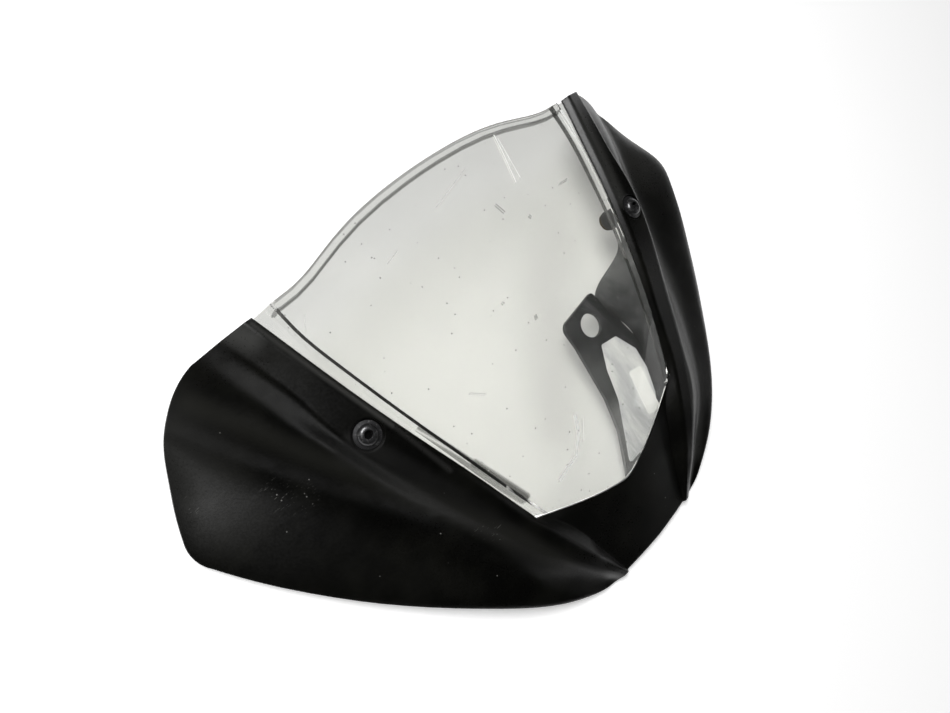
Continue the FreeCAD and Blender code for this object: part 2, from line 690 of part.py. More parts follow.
def shelf_outline():
    """Plan of the bracket's level shelf, from under the nose to the mounting lug."""
    corners = [(SHELF_END_X, SHELF_END_Y[0])] + SHELF_BAY + [LUG_INNER, LUG_OUTER, LUG_REAR]
    corners += SHELF_SIDE + [(SHELF_END_X, SHELF_END_Y[1])]
    radii = [SHELF_END_RADIUS] + [SHELF_BAY_RADIUS] * len(SHELF_BAY)
    radii += [LUG_ROOT_RADIUS, LUG_CORNER_RADIUS, LUG_REAR_RADIUS]
    radii += [SHELF_SIDE_RADIUS] * len(SHELF_SIDE) + [SHELF_END_RADIUS]
    return rounded_outline(corners, radii)


def well_nut_hole(side):
    """Hole in the strip that a well nut's sleeve goes through."""
    width = WELL_NUT_BODY_DIAMETER + WELL_NUT_HOLE_CLEARANCE
    deep = STRIP_DROP + WELL_NUT_LENGTH
    return placed(cylinder(width, -deep, 0.0), land_frame(side))


def shelf_hole(diameter, x, y):
    """Cutter for a round hole through the shelf."""
    return cylinder(diameter, SHELF_Z - 2 * FRAME_WALL, SHELF_Z + FRAME_WALL, x, y)


def side_bracket():
    """Black right-hand moulding: strip under the arm, wall, and shelf with the lug."""
    wall = Part.makeLoft([frame_section(y, WALL_FOOT) for y in WALL_STATIONS], True, False)
    body = slab(shelf_outline(), SHELF_Z - FRAME_WALL, SHELF_Z).fuse(wall)
    body = body.cut(well_nut_hole(1))
    body = body.cut(shelf_hole(2 * LUG_HOLE_RADIUS, LUG_HOLE_X, LUG_HOLE_Y))
    return body.cut(shelf_hole(FRAME_SCREW_HOLE, BOSS_X, BOSS_Y))


def backing_strip():
    """Black strip under the left arm that takes the left well nut."""
    strip = Part.makeLoft([frame_section(y, STRIP_FOOT) for y in STRIP_STATIONS], True, False)
    return strip.mirror(vec(0, 0, 0), vec(1, 0, 0)).cut(well_nut_hole(-1))


def revolved(profile):
    """Solid turned about local Z from (radius, height) corners; arcs are triples."""
    edges = []
    here = profile[0]
    for item in profile[1:]:
        if len(item) == 4:
            middle, end = item[:2], item[2:]
            edges.append(Part.Arc(
                vec(here[0], 0, here[1]), vec(middle[0], 0, middle[1]), vec(end[0], 0, end[1])
            ).toShape())
            here = end
        else:
            edges.append(Part.LineSegment(
                vec(here[0], 0, here[1]), vec(item[0], 0, item[1])
            ).toShape())
            here = item
    face = Part.Face(Part.Wire(edges))
    return face.revolve(vec(0, 0, 0), vec(0, 0, 1), 360)


def hexagon(width, bottom, top):
    """Six-sided prism, its width measured across the flats."""
    radius = width / math.sqrt(3.0)
    corners = [
        vec(radius * math.cos(math.radians(60 * i)), radius * math.sin(math.radians(60 * i)),
            bottom)
        for i in range(7)
    ]
    return Part.Face(Part.makePolygon(corners)).extrude(vec(0, 0, top - bottom))


def land_screw(side):
    """Flanged button-head screw with a hex socket, seated in the arm's dish."""
    seat = -HEAD_DISH_DEPTH
    rim = SCREW_HEAD_DIAMETER / 2.0
    dome = rim - SCREW_DOME_INSET
    top = seat + SCREW_HEAD_HEIGHT
    shoulder = seat + SCREW_FLANGE_HEIGHT
    shank = SCREW_SHANK_DIAMETER / 2.0
    tip = seat - SCREW_LENGTH
    body = revolved([
        (0, top), (dome * SCREW_DOME_FLAT_SHARE, top),
        (dome * SCREW_DOME_BEND_SHARE, top - SCREW_DOME_DROP, dome, shoulder),
        (rim, shoulder - SCREW_FLANGE_SLOPE), (rim, seat), (shank, seat),
        (shank, tip + SCREW_TIP_CHAMFER), (shank - SCREW_TIP_CHAMFER, tip), (0, tip), (0, top),
    ])
    body = body.cut(hexagon(SCREW_SOCKET_WIDTH, top - SCREW_SOCKET_DEPTH, top + CUT_OVERLAP))
    return placed(body, land_frame(side))


def stack_top():
    """Height of the well nut's flange face below the land."""
    return -(SHELL_WALL + SHEET_CLEARANCE + SCREEN_WALL)


def well_nut(side):
    """Rubber sleeve with a flange, held in the strip's hole."""
    top = stack_top() - STACK_GAP
    under = top - WELL_NUT_FLANGE_HEIGHT
    low = under - WELL_NUT_LENGTH
    bore = (SCREW_SHANK_DIAMETER + WELL_NUT_BORE_CLEARANCE) / 2.0
    socket = INSERT_DIAMETER / 2.0 + INSERT_FIT
    body = WELL_NUT_BODY_DIAMETER / 2.0
    ledge = low + INSERT_LENGTH - INSERT_COLLAR_HEIGHT
    shape = revolved([
        (bore, top), (WELL_NUT_FLANGE_DIAMETER / 2.0, top),
        (WELL_NUT_FLANGE_DIAMETER / 2.0, under), (body, under),
        (body, low + WELL_NUT_CHAMFER), (body - WELL_NUT_CHAMFER, low), (socket, low),
        (socket, ledge), (bore, ledge), (bore, top),
    ])
    return placed(shape, land_frame(side))


def nut_insert(side):
    """Threaded brass insert in the lower end of the sleeve."""
    low = stack_top() - STACK_GAP - WELL_NUT_FLANGE_HEIGHT - WELL_NUT_LENGTH
    bore = SCREW_SHANK_DIAMETER / 2.0 + INSERT_FIT
    top = low + INSERT_LENGTH - INSERT_COLLAR_HEIGHT - INSERT_FIT
    collar = INSERT_COLLAR_DIAMETER / 2.0
    shape = revolved([
        (bore, top), (INSERT_DIAMETER / 2.0, top), (INSERT_DIAMETER / 2.0, low),
        (collar, low), (collar, low - INSERT_COLLAR_HEIGHT),
        (bore, low - INSERT_COLLAR_HEIGHT), (bore, top),
    ])
    return placed(shape, land_frame(side))


def bracket_screw():
    """Short pan-head screw up through the shelf into the shell's boss."""
    seat = SHELF_Z - FRAME_WALL
    head = FRAME_SCREW_HEAD_DIAMETER / 2.0
    shank = FRAME_SCREW_DIAMETER / 2.0
    low = seat - FRAME_SCREW_HEAD_HEIGHT
    body = revolved([
        (0, seat + FRAME_SCREW_LENGTH), (shank, seat + FRAME_SCREW_LENGTH - shank),
        (shank, seat), (head, seat), (head, low + FRAME_SCREW_HEAD_CHAMFER),
        (head - FRAME_SCREW_HEAD_CHAMFER, low), (0, low), (0, seat + FRAME_SCREW_LENGTH),
    ])
    for turn in (0, 90):
        corner = vec(-CROSS_SLOT_LENGTH / 2.0, -CROSS_SLOT_WIDTH / 2.0, low - CUT_OVERLAP)
        slot = Part.makeBox(
            CROSS_SLOT_LENGTH, CROSS_SLOT_WIDTH, CROSS_SLOT_DEPTH + CUT_OVERLAP, corner
        )
        slot.rotate(vec(0, 0, 0), vec(0, 0, 1), turn)
        body = body.cut(slot)
    body.translate(vec(BOSS_X, BOSS_Y, 0))
    return body


# Bare heat foil on the shelf, and a bare label on the foil
FOIL_OUTLINE = [
    (44.6, 37.2), (56.5, 35.0), (63.2, 21.0), (62.0, 8.0), (56.5, -6.5), (50.5, -16.0),
    (43.0, -24.8), (12.5, -25.2), (21.0, -11.5), (32.0, 6.5), (37.6, 24.0),
]


def heat_foil():
    """Thin sheet on top of the shelf."""
    wire = rounded_outline(FOIL_OUTLINE, [FOIL_CORNER_RADIUS] * len(FOIL_OUTLINE))
    return slab(wire, SHELF_Z, SHELF_Z + FOIL_THICKNESS)


def label():
    """Small rounded rectangle on the foil."""
    half_l, half_w = LABEL_LENGTH / 2.0, LABEL_WIDTH / 2.0
    corners = [(-half_w, -half_l), (half_w, -half_l), (half_w, half_l), (-half_w, half_l)]
    wire = rounded_outline(corners, [LABEL_CORNER_RADIUS] * 4)
    bottom = SHELF_Z + FOIL_THICKNESS
    shape = slab(wire, bottom, bottom + LABEL_THICKNESS)
    shape.rotate(vec(0, 0, 0), vec(0, 0, 1), LABEL_TURN)
    shape.translate(vec(LABEL_X, LABEL_Y, 0))
    return shape


def report(name, shape):
    """Print whether a piece is sound and how large it is."""
    box = shape.optimalBoundingBox(False)
    print(name, shape.isValid(), len(shape.Solids), round(shape.Volume), box)


REST_FACET = 0.3


def rest_placement(shapes):
    """Lay the part on the two rim points and the nose that its weight sits between."""
    corners = []
    for shape in shapes:
        points = shape.tessellate(REST_FACET)[0]
        corners += [(p.y, p.z) for p in points]
    corners = sorted(set((round(y, 3), round(z, 3)) for y, z in corners))
    hull = []
    for p in corners:
        while len(hull) > 1:
            (ay, az), (by, bz) = hull[-2], hull[-1]
            if (by - ay) * (p[1] - az) - (bz - az) * (p[0] - ay) > 0:
                break
            hull.pop()
        hull.append(p)
    solids = [solid for shape in shapes for solid in shape.Solids]
    weight = sum(s.Volume for s in solids)
    middle = sum(s.CenterOfMass.y * s.Volume for s in solids) / weight
    spans = [(a, b) for a, b in zip(hull, hull[1:]) if a[0] <= middle <= b[0]]
    a, b = spans[0]
    pitch = -math.degrees(math.atan2(b[1] - a[1], b[0] - a[0]))
    turn = FreeCAD.Placement(vec(0, 0, 0), FreeCAD.Rotation(vec(1, 0, 0), pitch))
    boxes = []
    for shape in shapes:
        laid = placed(shape, turn)
        boxes.append(laid.optimalBoundingBox(False))
    low = min(box.ZMin for box in boxes)
    near, far = min(box.YMin for box in boxes), max(box.YMax for box in boxes)
    print("rest on", a, b, "pitch", round(pitch, 3))
    move = FreeCAD.Placement(vec(0, -(near + far) / 2.0, -low), FreeCAD.Rotation())
    return move.multiply(turn)


def main():
    """Build every piece, lay the part on its rim and write the pieces."""
    os.makedirs("parts", exist_ok=True)
    pieces = {"fairing_shell": fairing_shell(), "screen": screen()}
    pieces["side_bracket"] = side_bracket()
    pieces["backing_strip"] = backing_strip()
    pieces["bracket_screw"] = bracket_screw()
    pieces["heat_foil"] = heat_foil()
    for side, hand in ((-1, "left"), (1, "right")):
        pieces["screw_" + hand] = land_screw(side)
        pieces["well_nut_" + hand] = well_nut(side)
        pieces["nut_insert_" + hand] = nut_insert(side)
    pieces["label"] = label()
    rest = rest_placement(list(pieces.values()))
    print("placement", [round(v, 6) for v in rest.toMatrix().A])
    for name, shape in pieces.items():
        report(name, shape)
        placed(shape, rest).exportStep("parts/" + name + ".step")


main()
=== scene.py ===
"""Studio view of a small motorbike flyscreen lying on its rim.

The shell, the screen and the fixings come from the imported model. This script gives each
one its finish, with the wear and dust of a used part, and sets the floor, the lamps and
the camera.
"""

import json
import logging
from dataclasses import dataclass
from enum import Enum

import bpy
from mathutils import Matrix, Vector

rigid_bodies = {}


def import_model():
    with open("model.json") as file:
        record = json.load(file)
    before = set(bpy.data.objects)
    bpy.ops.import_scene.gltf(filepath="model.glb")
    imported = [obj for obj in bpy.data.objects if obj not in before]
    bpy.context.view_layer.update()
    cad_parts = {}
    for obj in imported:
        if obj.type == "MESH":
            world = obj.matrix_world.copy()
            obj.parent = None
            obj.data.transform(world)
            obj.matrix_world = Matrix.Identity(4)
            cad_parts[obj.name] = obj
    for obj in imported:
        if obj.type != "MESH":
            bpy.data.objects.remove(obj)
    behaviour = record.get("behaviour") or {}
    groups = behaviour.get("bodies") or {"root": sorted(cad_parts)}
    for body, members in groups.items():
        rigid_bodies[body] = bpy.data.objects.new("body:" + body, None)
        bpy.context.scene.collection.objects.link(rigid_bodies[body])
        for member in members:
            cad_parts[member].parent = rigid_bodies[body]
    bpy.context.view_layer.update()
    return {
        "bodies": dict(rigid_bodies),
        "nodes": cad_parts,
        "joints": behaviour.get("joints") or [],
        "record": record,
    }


LOG = logging.getLogger("flyscreen")

EDGE_SAMPLES = 4
WHITE = (1.0, 1.0, 1.0)

Triple = tuple[float, float, float]
Point = tuple[float, float]


class Slot(Enum):
    """Material slots of the part's record."""

    FAIRING = "fairing_black"
    SCREEN = "screen_clear"
    BRACKET = "bracket_black"
    SCREW = "screw_black"
    FOIL = "foil_silver"
    LABEL = "label_grey"
    RUBBER = "rubber_black"
    BRASS = "brass_insert"


@dataclass(frozen=True)
class Line:
    """A mark's path seen from above, in metres, its width, strength and symmetry."""

    points: tuple[Point, ...]
    width: float = 0.0004
    strength: float = 1.0
    mirrored: bool = False


class Socket:
    """A node's output that can be added, scaled and compared like a number."""

    def __init__(self, graph: "Graph", out: bpy.types.NodeSocket) -> None:
        """Wrap one output of a graph's node."""
        self.graph = graph
        self.out = out

    def _math(self, kind: str, *values: "Socket | float") -> "Socket":
        """Return a Math node of the given kind fed by these values."""
        return self.graph.node("ShaderNodeMath", dict(enumerate(values)), operation=kind)

    def __add__(self, other: "Socket | float") -> "Socket":
        """Return the sum."""
        return self._math("ADD", self, other)

    __radd__ = __add__

    def __sub__(self, other: "Socket | float") -> "Socket":
        """Return this value less another."""
        return self._math("SUBTRACT", self, other)

    def __rsub__(self, other: "Socket | float") -> "Socket":
        """Return another value less this one."""
        return self._math("SUBTRACT", other, self)

    def __mul__(self, other: "Socket | float") -> "Socket":
        """Return the product."""
        return self._math("MULTIPLY", self, other)

    __rmul__ = __mul__

    def __truediv__(self, other: "Socket | float") -> "Socket":
        """Return this value over another."""
        return self._math("DIVIDE", self, other)

    def __abs__(self) -> "Socket":
        """Return the value without its sign."""
        return self._math("ABSOLUTE", self)

    def smaller(self, other: "Socket | float") -> "Socket":
        """Return the smaller of this and another value."""
        return self._math("MINIMUM", self, other)

    def larger(self, other: "Socket | float") -> "Socket":
        """Return the larger of this and another value."""
        return self._math("MAXIMUM", self, other)

    def below(self, other: "Socket | float") -> "Socket":
        """Return 1 where this value is under another, and 0 elsewhere."""
        return self._math("LESS_THAN", self, other)

    def root(self) -> "Socket":
        """Return the square root of this value."""
        return self._math("SQRT", self)

    def ramp(self, low: float, high: float, start: float = 0.0, end: float = 1.0) -> "Socket":
        """Map this value smoothly from one span to another.

        Args:
            low: value at which the ramp begins.
            high: value at which the ramp ends.
            start: what it gives at low and before.
            end: what it gives at high and beyond.

        Returns:
            The mapped value.
        """
        return self.graph.node(
            "ShaderNodeMapRange",
            {"Value": self, "From Min": low, "From Max": high, "To Min": start, "To Max": end},
            interpolation_type="SMOOTHSTEP",
        )

    def axis(self, name: str) -> "Socket":
        """Return one component of a vector, by its letter."""
        return self.graph.node("ShaderNodeSeparateXYZ", {"Vector": self}, output=name)


class Graph:
    """Node tree of one material, built from the surface's own place in metres."""

    def __init__(self, name: str) -> None:
        """Start an empty material with its output node.

        Args:
            name: what the material is called.
        """
        self.material = bpy.data.materials.new(name)
        self.material.use_nodes = True
        self.tree = self.material.node_tree
        self.tree.nodes.clear()
        self.output = self.tree.nodes.new("ShaderNodeOutputMaterial")

    def feed(self, socket: bpy.types.NodeSocket, value: "Socket | float | tuple") -> None:
        """Link a wrapped output to a node's input, or set the input's own value.

        Args:
            socket: the node's input.
            value: the wrapped output, or the value to set.
        """
        if isinstance(value, Socket):
            self.tree.links.new(value.out, socket)
        else:
            socket.default_value = value

    def node(
        self,
        kind: str,
        inputs: dict[int | str, "Socket | float | tuple"] | None = None,
        output: int | str = 0,
        **settings: str | int | float | bool,
    ) -> Socket:
        """Add a node and give back one of its outputs.

        Args:
            kind: Blender's name for the node type.
            inputs: values or sockets by input name or number.
            output: name or number of the output wanted.
            **settings: the node's own properties.

        Returns:
            The wrapped output.
        """
        made = self.tree.nodes.new(kind)
        for key, value in settings.items():
            setattr(made, key, value)
        for key, value in (inputs or {}).items():
            self.feed(made.inputs[key], value)
        return Socket(self, made.outputs[output])

    def place(self) -> Socket:
        """Return the surface point in metres, in the part's own frame."""
        return self.node("ShaderNodeTexCoord", output="Object")

    def stretch(self, vector: Socket, scale: Triple, turn: float = 0.0) -> Socket:
        """Scale and turn a vector, for a texture that runs one way.

        Args:
            vector: where on the surface.
            scale: how much each axis is scaled.
            turn: angle about Z, in radians.

        Returns:
            The changed vector.
        """
        turned = (0.0, 0.0, turn)
        return self.node(
            "ShaderNodeMapping", {"Vector": vector, "Scale": scale, "Rotation": turned}
        )

    def noise(
        self, vector: Socket, scale: float, detail: float = 3.0, rough: float = 0.55
    ) -> Socket:
        """Return a noise value between about 0.2 and 0.8.

        Args:
            vector: where on the surface.
            scale: how many waves there are to a metre.
            detail: how many finer layers are laid on it.
            rough: how strong each finer layer is.

        Returns:
            The noise.
        """
        return self.node(
            "ShaderNodeTexNoise",
            {"Vector": vector, "Scale": scale, "Detail": detail, "Roughness": rough},
        )

    def specks(self, vector: Socket, scale: float, size: float, share: Socket | float) -> Socket:
        """Return scattered round specks.

        Args:
            vector: where on the surface.
            scale: cells per metre.
            size: speck radius as a share of a cell.
            share: how many cells hold one, from 0 to 1.

        Returns:
            1 on a speck and 0 off it.
        """
        cell = {"Vector": vector, "Scale": scale}
        near = self.node("ShaderNodeTexVoronoi", cell, output="Distance")
        pick = self.node("ShaderNodeTexVoronoi", cell, output="Color").axis("X")
        return near.ramp(size, size * 0.4) * pick.below(share)

    def blend(self, share: Socket | float, a: Socket | Triple, b: Socket | Triple) -> Socket:
        """Return a colour between two others.

        Args:
            share: how much of b there is, from 0 to 1.
            a: the colour at 0.
            b: the colour at 1.

        Returns:
            The mixed colour.
        """
        made = self.tree.nodes.new("ShaderNodeMix")
        made.data_type = "RGBA"
        self.feed(made.inputs[0], share)
        ends = [socket for socket in made.inputs if socket.type == "RGBA"]
        for socket, value in zip(ends, (a, b)):
            self.feed(socket, value if isinstance(value, Socket) else (*value, 1.0))
        return Socket(self, [socket for socket in made.outputs if socket.type == "RGBA"][0])

    def rounded(self, radius: float) -> Socket:
        """Return a normal that softens sharp edges by a radius in metres."""
        return self.node("ShaderNodeBevel", {"Radius": radius}, samples=EDGE_SAMPLES)

    def bump(
        self, height: Socket, depth: float, strength: float = 1.0, base: Socket | None = None
    ) -> Socket:
        """Return a normal pushed by a height.

        Args:
            height: the relief, about 0 to 1.
            depth: metres from its lowest to its highest.
            strength: how much of it shows.
            base: the normal that it is laid over.

        Returns:
            The pushed normal.
        """
        inputs = {"Height": height, "Distance": depth, "Strength": strength}
        if base is not None:
            inputs["Normal"] = base
        return self.node("ShaderNodeBump", inputs)

    def near_line(self, place: Socket, line: Line) -> Socket:
        """Measure from the surface point to a line seen from above.

        Args:
            place: the surface point.
            line: the line to measure to.

        Returns:
            The distance in metres.
        """
        x, y = place.axis("X"), place.axis("Y")
        if line.mirrored:
            x = abs(x)
        best: Socket | None = None
        for (ax, ay), (bx, by) in zip(line.points, line.points[1:]):
            length = (bx - ax) ** 2 + (by - ay) ** 2
            along = ((x - ax) * (bx - ax) + (y - ay) * (by - ay)) / length
            along = along.larger(0.0).smaller(1.0)
            off_x = x - (along * (bx - ax) + ax)
            off_y = y - (along * (by - ay) + ay)
            gap = (off_x * off_x + off_y * off_y).root()
            best = gap if best is None else best.smaller(gap)
        assert best is not None
        return best

    def drawn(self, place: Socket, lines: tuple[Line, ...], core: float = 0.4) -> Socket:
        """Return a mask of lines.

        Args:
            place: the surface point.
            lines: the lines to draw.
            core: share of the width that is drawn at full strength.

        Returns:
            Each line's strength on it, and 0 off it.
        """
        mask: Socket | None = None
        for line in lines:
            gap = self.near_line(place, line)
            drawn = gap.ramp(line.width, line.width * core) * line.strength
            mask = drawn if mask is None else mask.larger(drawn)
        assert mask is not None
        return mask

    def principled(self, **inputs: "Socket | float | tuple") -> Socket:
        """Add a Principled shader.

        Args:
            **inputs: values or sockets by input name, with _ for a space.

        Returns:
            The shader.
        """
        named = {}
        for key, value in inputs.items():
            if isinstance(value, tuple) and len(value) == 3:
                value = (*value, 1.0)
            named[key.replace("_", " ")] = value
        return self.node("ShaderNodeBsdfPrincipled", named)

    def finish(self, shader: Socket) -> bpy.types.Material:
        """Join the shader to the output and return the material."""
        self.tree.links.new(shader.out, self.output.inputs["Surface"])
        return self.material


@dataclass(frozen=True)
class Finish:
    """Base of the finishes: a name and a way to make the material."""

    name: str = "finish"

    def build(self) -> bpy.types.Material:
        """Return the finished material."""
        raise NotImplementedError


@dataclass(frozen=True)
class FairingPlastic(Finish):
    """Matt black moulded plastic with handling marks and dusty specks, and painted highlight bands
    along its raised wing band, crests, flanks and wing ends.
    """

    name: str = "fairing_plastic"
    dark: Triple = (0.0009, 0.0009, 0.0006)
    dusty: Triple = (0.0045, 0.0045, 0.0035)
    # Painted highlight: lighter tone of the band along the left wing.
    ridge_highlight_tone: Triple = (0.009, 0.009, 0.0075)
    # Painted highlight: pale grey of the sheen bands below.
    sheen_grey: Triple = (0.036, 0.036, 0.034)
    speck: Triple = (0.16, 0.16, 0.15)
    rough: float = 0.31
    specular: float = 0.24
    edge_radius: float = 0.0012
    grain_depth: float = 0.00006
    cloud_scale: float = 14.0
    haze_scale: float = 40.0
    grain_scale: float = 900.0
    dot_scale: float = 420.0
    dot_size: float = 0.22
    hair_scale: Triple = (220, 2600, 400)
    hair_turn: float = 0.9
    hair_strength: float = 0.6
    streak_rough: float = 0.25
    # Painted highlight: a lighter band along the left wing's raised line.
    ridge_highlight: Line = Line(
        (
            (-0.1518, 0.0970), (-0.1268, 0.0416), (-0.1112, 0.0111), (-0.0942, -0.0209),
            (-0.0766, -0.0548), (-0.0614, -0.0859),
        ),
        0.008,
    )
    streak: Line = Line(
        (
            (-0.1133, 0.0332), (-0.1051, 0.0165), (-0.0909, -0.0173), (-0.0779, -0.0522),
            (-0.0669, -0.0876), (-0.0498, -0.1109),
        ),
        0.010,
    )
    scuffs: tuple[Line, ...] = (
        Line(((-0.1475, 0.0405), (-0.1400, 0.0300)), 0.012),
        Line(((-0.0880, -0.0385), (-0.0800, -0.0460)), 0.006),
        Line(((-0.1810, 0.0640), (-0.1735, 0.0560)), 0.006),
    )
    # Painted highlights: pale grey sheen bands along the right arm and flank, the left crest and
    # arm end, and the rear of both wings.
    right_arm_sheen: Line = Line(((0.1165, 0.1020), (0.1095, 0.0711), (0.1005, 0.0406)), 0.0075, 0.7)
    right_flank_sheen: Line = Line(
        (
            (0.1290, 0.0300), (0.1188, -0.0173), (0.1000, -0.0429), (0.0760, -0.0676),
            (0.0664, -0.0901), (0.0550, -0.1032),
        ),
        0.010,
        0.55,
    )
    left_crest_sheen: Line = Line(
        (
            (-0.1140, 0.1044), (-0.1093, 0.0864), (-0.1043, 0.0673), (-0.0990, 0.0484),
            (-0.0932, 0.0295),
        ),
        0.0024,
    )
    left_crest_sheen_fade: Line = Line(((-0.0932, 0.0295), (-0.0842, -0.0048)), 0.0024, 0.4)
    left_end_sheen: Line = Line(((-0.1225, 0.1080), (-0.1185, 0.1000)), 0.010)
    wing_end_sheen: Line = Line(((0.1680, 0.1000), (0.1700, 0.0500)), 0.030, 0.4, True)

    def build(self) -> bpy.types.Material:
        """Make the shell's material.

        Returns:
            The material.
        """
        graph = Graph(self.name)
        place = graph.place()
        cloud = graph.noise(place, self.cloud_scale, 4.0)
        haze = graph.noise(place, self.haze_scale, 4.0)
        grain = graph.noise(place, self.grain_scale, 2.0)
        wear = graph.drawn(place, self.scuffs, 0.0)
        hair = graph.noise(graph.stretch(place, self.hair_scale, self.hair_turn), 1.0, 2.0)
        scratches = hair.ramp(0.66, 0.70) * wear
        share = cloud.ramp(0.45, 0.75, 0.004, 0.03) + wear * 0.10
        dots = graph.specks(place, self.dot_scale, self.dot_size, share)
        # Painted highlight mask of the sheen bands.
        painted_sheen = graph.drawn(
            place,
            (
                self.right_arm_sheen, self.right_flank_sheen, self.left_crest_sheen,
                self.left_crest_sheen_fade, self.left_end_sheen, self.wing_end_sheen,
            ),
            0.0,
        )
        colour = graph.blend(haze.ramp(0.35, 0.75), self.dark, self.dusty)
        # Painted highlight: lighten the colour along the left wing's raised band.
        colour = graph.blend(graph.drawn(place, (self.ridge_highlight,), 0.0), colour, self.ridge_highlight_tone)
        # Painted highlights: the sheen bands lighten the colour.
        colour = graph.blend(painted_sheen, colour, self.sheen_grey)
        colour = graph.blend(dots.larger(scratches * self.hair_strength), colour, self.speck)
        rough = grain.ramp(0.3, 0.7, self.rough - 0.02, self.rough + 0.05)
        rough = rough + cloud.ramp(0.4, 0.7, -0.02, 0.04) + wear * 0.05
        rough = rough + graph.drawn(place, (self.streak,), 0.3) * self.streak_rough
        shader = graph.principled(
            Base_Color=colour,
            Roughness=rough,
            Specular_IOR_Level=self.specular,
            Normal=graph.bump(grain * 0.6, self.grain_depth, 0.5, graph.rounded(self.edge_radius)),
        )
        return graph.finish(shader)


@dataclass(frozen=True)
class ClearScreen(Finish):
    """Clear polished plastic, grey in its depth and marked by use, with painted shade along its
    moulded edges and painted light on its flange strips.
    """

    name: str = "clear_screen"
    clear: Triple = (0.550, 0.552, 0.530)
    smear: Triple = (0.51, 0.512, 0.495)
    # Painted shade: dark tone of the lines along the rim, bead and left step.
    edge_shade: Triple = (0.06, 0.06, 0.056)
    shade: Triple = (0.40, 0.40, 0.385)
    # Painted light: pale tint of the flange strips.
    pale: Triple = (0.96, 0.96, 0.94)
    scratch: Triple = (0.95, 0.95, 0.92)
    dirt: Triple = (0.05, 0.05, 0.05)
    lamp_share: Triple = (0.84, 0.84, 0.82)
    index: float = 1.49
    veil: float = 0.012
    cloud_scale: float = 9.0
    haze_scale: Triple = (90, 900, 90)
    haze_turn: float = 0.5
    dot_scale: float = 260.0
    dot_size: float = 0.15
    dot_share: float = 0.12
    dot_strength: float = 0.6
    haze_strength: float = 0.04
    flaw_rough: float = 0.5
    scratches: tuple[Line, ...] = ()
    dark_marks: tuple[Line, ...] = ()
    edges: tuple[Line, ...] = ()
    shades: tuple[Line, ...] = ()
    strips: tuple[Line, ...] = ()

    def tint(self, graph: Graph, place: Socket, cloud: Socket) -> Socket:
        """Return the plastic's colour.

        Args:
            graph: the screen's node tree.
            place: the surface point.
            cloud: soft patches.

        Returns:
            The colour, with its shade patches, painted light on the flange strips and painted shade
            along the edges.
        """
        tint = graph.blend(cloud.ramp(0.35, 0.7), self.clear, self.smear)
        tint = graph.blend(graph.drawn(place, self.shades, 0.0), tint, self.shade)
        # Painted light: paler tint along the flange strips.
        tint = graph.blend(graph.drawn(place, self.strips, 0.6), tint, self.pale)
        # Painted shade lines along the rim, bead and left step.
        return graph.blend(graph.drawn(place, self.edges), tint, self.edge_shade)

    def build(self) -> bpy.types.Material:
        """Make the screen's material.

        Returns:
            The material.
        """
        graph = Graph(self.name)
        place = graph.place()
        cloud = graph.noise(place, self.cloud_scale, 3.0)
        haze = graph.noise(graph.stretch(place, self.haze_scale, self.haze_turn), 1.0, 4.0)
        dots = graph.specks(place, self.dot_scale, self.dot_size, self.dot_share)
        dots = dots.larger(graph.drawn(place, self.dark_marks))
        glass = graph.principled(
            Base_Color=self.tint(graph, place, cloud),
            Roughness=0.0,
            IOR=self.index,
            Transmission_Weight=1.0,
        )
        for_lamps = graph.node("ShaderNodeBsdfTransparent", {"Color": (*self.lamp_share, 1.0)})
        lamp_ray = graph.node("ShaderNodeLightPath", output="Is Shadow Ray")
        clear = graph.node("ShaderNodeMixShader", {0: lamp_ray, 1: glass, 2: for_lamps})
        veil = cloud.ramp(0.3, 0.7, self.veil, self.veil * 1.3)
        flaws = (dots * self.dot_strength).larger(veil + haze.ramp(0.62, 0.86) * self.haze_strength)
        flaws = flaws.larger(graph.drawn(place, self.scratches))
        colour = graph.blend(dots, self.scratch, self.dirt)
        flaw = graph.principled(Base_Color=colour, Roughness=self.flaw_rough)
        return graph.finish(graph.node("ShaderNodeMixShader", {0: flaws, 1: clear, 2: flaw}))


